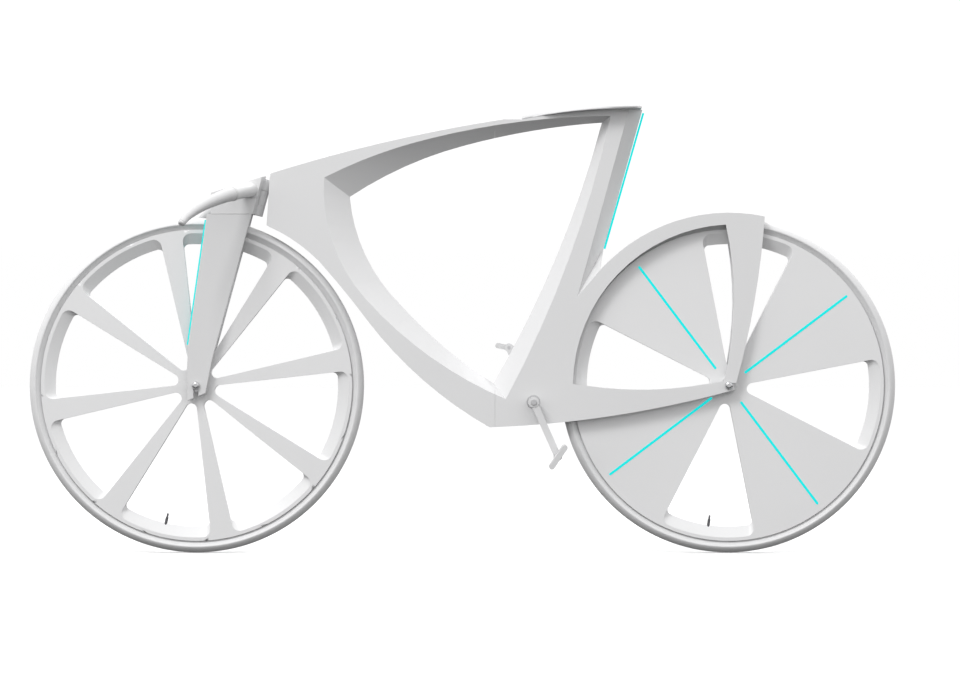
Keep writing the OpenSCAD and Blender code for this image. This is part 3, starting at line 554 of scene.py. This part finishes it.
def saddle_pad():
    """Two grids over the same outline, from side to side and nose to back: a crowned top and a flat
    underside. The top falls away towards the edge as a superellipse, the seam is a narrow groove at
    nine tenths of the half width, and the middle channel is a wide shallow one."""
    x = np.concatenate([np.linspace(0, 0.08, 14), np.linspace(0.08, 0.93, 60)[1:],
                        np.linspace(0.93, 1, 14)[1:]])
    x = np.clip(x, 0.0008, 0.9995)
    v = np.sin(np.linspace(-np.pi / 2, np.pi / 2, 61))
    half = saddle_half_width(x)[:, None]
    ends = part_of(np.minimum(x, 1 - x), 0, 0.05)[:, None]
    edge = (1 - np.abs(v) ** 5) ** 0.5 * np.sqrt(1 - (1 - ends) ** 2)
    seam = SEAM_DEPTH * np.exp(-((np.abs(v) - SEAM_AT) / 0.02) ** 2)
    fade = (part_of(x, 0.15, 0.2) * part_of(0.9 - x, 0, 0.2))[:, None]
    channel = CHANNEL_DEPTH * np.exp(-(v / 0.16) ** 2) * fade
    base = saddle_height(x)[:, None]
    top = base + EDGE_RISE + PAD_RISE * edge + CROWN * (1 - v ** 2) - seam * edge - channel
    px = SEAT_START + x[:, None] * SEAT_LENGTH + 0 * v
    upper = np.stack([px, half * v, top], -1)
    lower = np.stack([px, half * v, base + 0 * v], -1)
    m, n = upper.shape[:2]
    sheets = np.concatenate([upper.reshape(-1, 3), lower.reshape(-1, 3)]) * MM
    faces = [grid_faces(m, n), grid_faces(m, n, start=m * n)]
    rim = np.concatenate([np.arange(n), np.arange(1, m) * n + n - 1,
                          (m - 1) * n + np.arange(n - 2, -1, -1), np.arange(m - 2, 0, -1) * n])
    nxt = np.roll(rim, -1)
    faces.append(np.stack([rim, nxt, nxt + m * n, rim + m * n], 1))
    return sheets, np.concatenate(faces)


def saddle_cover():
    cover = Shade("saddle_cover", (0.64, 0.64, 0.645), 0.5, Specular_IOR_Level=0.4, Sheen_Weight=0.15)
    grain = cover.cells(650.0)
    cover.vary(cover.noise(35, 4), 0.95, 1.04)
    cover.set("Roughness", grain * 0.2 + 0.40)
    cover.bump(grain * 0.6 + cover.noise(300, 3) * 0.4, 0.0004, 0.5)
    return cover.material


pad = new_piece("saddle_pad", *saddle_pad(), "rear_half", saddle_cover(), smooth=60)
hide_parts("seat_pad")


saddle_white = white_paint("saddle_shell_white", (0.7, 0.7, 0.705), 0.45)
finished_copy("seat_base", "saddle_shell", "rear_half", saddle_white, 0.6)


# ---- Metal parts ----
# Turned and brushed steel: axles, nuts, bolts, bearings, pins and the hidden drive. Bronze bushes
# and pinions run on them.

def metal(name, colour, roughness):
    """Brushed metal: noise drawn out along Y into fine lines."""
    steel = Shade(name, colour, roughness, Metallic=1.0)
    lines = steel.noise(1.0, 3, steel.stretch(900, 40, 900))
    steel.vary(lines, 0.88, 1.08)
    steel.set("Roughness", lines * 0.16 + (roughness - 0.08))
    steel.bump(lines, 0.00006, 0.4)
    return steel.material


bright_steel = metal("bright_steel", (0.62, 0.62, 0.63), 0.30)
dark_steel = metal("dark_steel", (0.16, 0.16, 0.17), 0.35)
bronze = metal("bronze", (0.55, 0.36, 0.16), 0.35)

metal_rows = [
    ("crank_bearings fold_pins rear_axle_nuts", "rear_half", bright_steel, "steel"),
    ("rear_axle", "rear_half", dark_steel, "dark_steel"),
    ("shaft_bushes", "rear_half", bronze, "bronze"),
    ("steering_bushes", "front_half", bronze, "bronze"),
    ("latch_bolt", "latch", bright_steel, "steel"),
    ("steering_pin front_axle_nuts", "steering", bright_steel, "steel"),
    ("front_axle stem_bolts crown_bolts", "steering", dark_steel, "dark_steel"),
    ("front_bearings", "wheel_front", bright_steel, "steel"),
    ("rear_bearings", "wheel_rear", bright_steel, "steel"),
    ("crank_axle crank_bolts crank_gear pedal_axles", "crankset", bright_steel, "steel"),
    ("drive_shaft", "shaft", bright_steel, "steel"),
    ("shaft_pinions", "shaft", bronze, "bronze"),
    ("hub_gear", "hub_drive", bright_steel, "steel"),
]
for names, body, material, slot_name in metal_rows:
    for node in names.split():
        finished_copy(node, node + "_metal", body, material, 0.3)


# ---- Crank arms and pedals ----
# Forged arms painted like the fork, and flat bar pedals with rounded edges that turn on steel
# axles in the arms' ends.

for node in ("crank_arm_left", "crank_arm_right"):
    finished_copy(node, node + "_forged", "crankset", fork_paint, 1.0)
pedal_plastic = white_paint("pedal_plastic", (0.66, 0.66, 0.665), 0.5)
for node, body in (("pedal_left", "pedal_l"), ("pedal_right", "pedal_r")):
    finished_copy(node, node + "_bar", body, pedal_plastic, 0.8)


# ---- Valves, latch knob and battery ----
# Small dark moulded parts: the knob under the fold lock, one valve in each rim, and the case of the
# battery inside the seat mast that feeds the lights.

def dark_plastic(name, colour, roughness):
    plastic = Shade(name, colour, roughness)
    plastic.vary(plastic.noise(90, 3), 0.85, 1.15)
    plastic.bump(plastic.noise(1100, 2), 0.0002, 0.4)
    return plastic.material


shell_plastic = dark_plastic("shell_plastic", (0.10, 0.10, 0.108), 0.5)
for node, body in (("latch_knob", "latch"), ("front_valve", "wheel_front"),
                   ("rear_valve", "wheel_rear")):
    finished_copy(node, node + "_dark", body, shell_plastic, 0.3)
battery_case = dark_plastic("battery_case", (0.05, 0.05, 0.055), 0.45)
finished_copy("light_battery", "light_battery_case", "rear_half", battery_case, 1.5)


# ---- Floor, light and camera ----
# A plain pale floor, two broad soft lamps, one high in front and one high behind, and a long lens
# square to the bicycle's left side.

def floor_disc(radius=30.0, steps=96, drop=0.0004):
    """A flat round sheet, just below the tyres so that it never shares a plane with them."""
    turn = np.linspace(0, 2 * np.pi, steps, endpoint=False)
    points = np.stack([radius * np.cos(turn), radius * np.sin(turn), np.full(steps, -drop)], 1)
    mesh = bpy.data.meshes.new("floor")
    mesh.from_pydata(points.tolist(), [], [list(range(steps))])
    floor = bpy.data.objects.new("floor", mesh)
    bpy.context.scene.collection.objects.link(floor)
    paper = Shade("floor_paper", (0.90, 0.90, 0.90), 0.9)
    paper.set("Base Color", paper.mix(paper.noise(2, 3), (0.89, 0.89, 0.89, 1), (0.91, 0.91, 0.91, 1)))
    mesh.materials.append(paper.material)
    floor.visible_diffuse = False
    floor.visible_glossy = False


floor_disc()
scene = bpy.context.scene
scene.view_settings.view_transform = "Standard"


def studio_sky(zenith=1.13, nadir=0.10):
    """White behind everything; it lights from above, and only faintly from below."""
    world = bpy.data.worlds.new("studio")
    scene.world = world
    world.use_nodes = True
    sky = Graph(world.node_tree)
    direction = sky.add("ShaderNodeTexCoord", out="Generated")
    height = sky.add("ShaderNodeSeparateXYZ", sockets={0: direction}, out="Z")
    ramp = sky.add("ShaderNodeMapRange", {"interpolation_type": "SMOOTHSTEP"},
                   {"Value": height, "From Min": -0.25, "From Max": 0.10, "To Min": nadir,
                    "To Max": zenith}, out="Result")
    seen = ramp.math("MAXIMUM", sky.add("ShaderNodeLightPath", out="Is Camera Ray"))
    background = world.node_tree.nodes["Background"].inputs
    sky.feed(background["Color"], (1, 1, 1, 1))
    sky.feed(background["Strength"], seen)


studio_sky()


def soft_light(name, place, side, power):
    """A square lamp, with its side in metres and its power in watts, aimed at the frame's middle."""
    data = bpy.data.lights.new(name, "AREA")
    data.size = side
    data.energy = power
    lamp = bpy.data.objects.new(name, data)
    lamp.location = place
    lamp.rotation_euler = (Vector((0, 0, 0.45)) - Vector(place)).to_track_quat("-Z", "Y").to_euler()
    scene.collection.objects.link(lamp)


soft_light("key", (-2.6, -3.8, 5.2), 2.0, 190)
soft_light("back", (2.0, 4.4, 4.6), 2.5, 110)

VIEW_WIDTH, VIEW_X, VIEW_Z = 1.9526, 0.0357, 0.4259
camera = bpy.data.objects.new("camera", bpy.data.cameras.new("camera"))
camera.data.lens = 150
camera.data.sensor_width = 36
distance = VIEW_WIDTH * camera.data.lens / camera.data.sensor_width
camera.location = (VIEW_X, -distance, VIEW_Z)
camera.rotation_euler = (math.radians(90), 0, 0)
camera.data.clip_end = 100
scene.collection.objects.link(camera)
scene.camera = camera
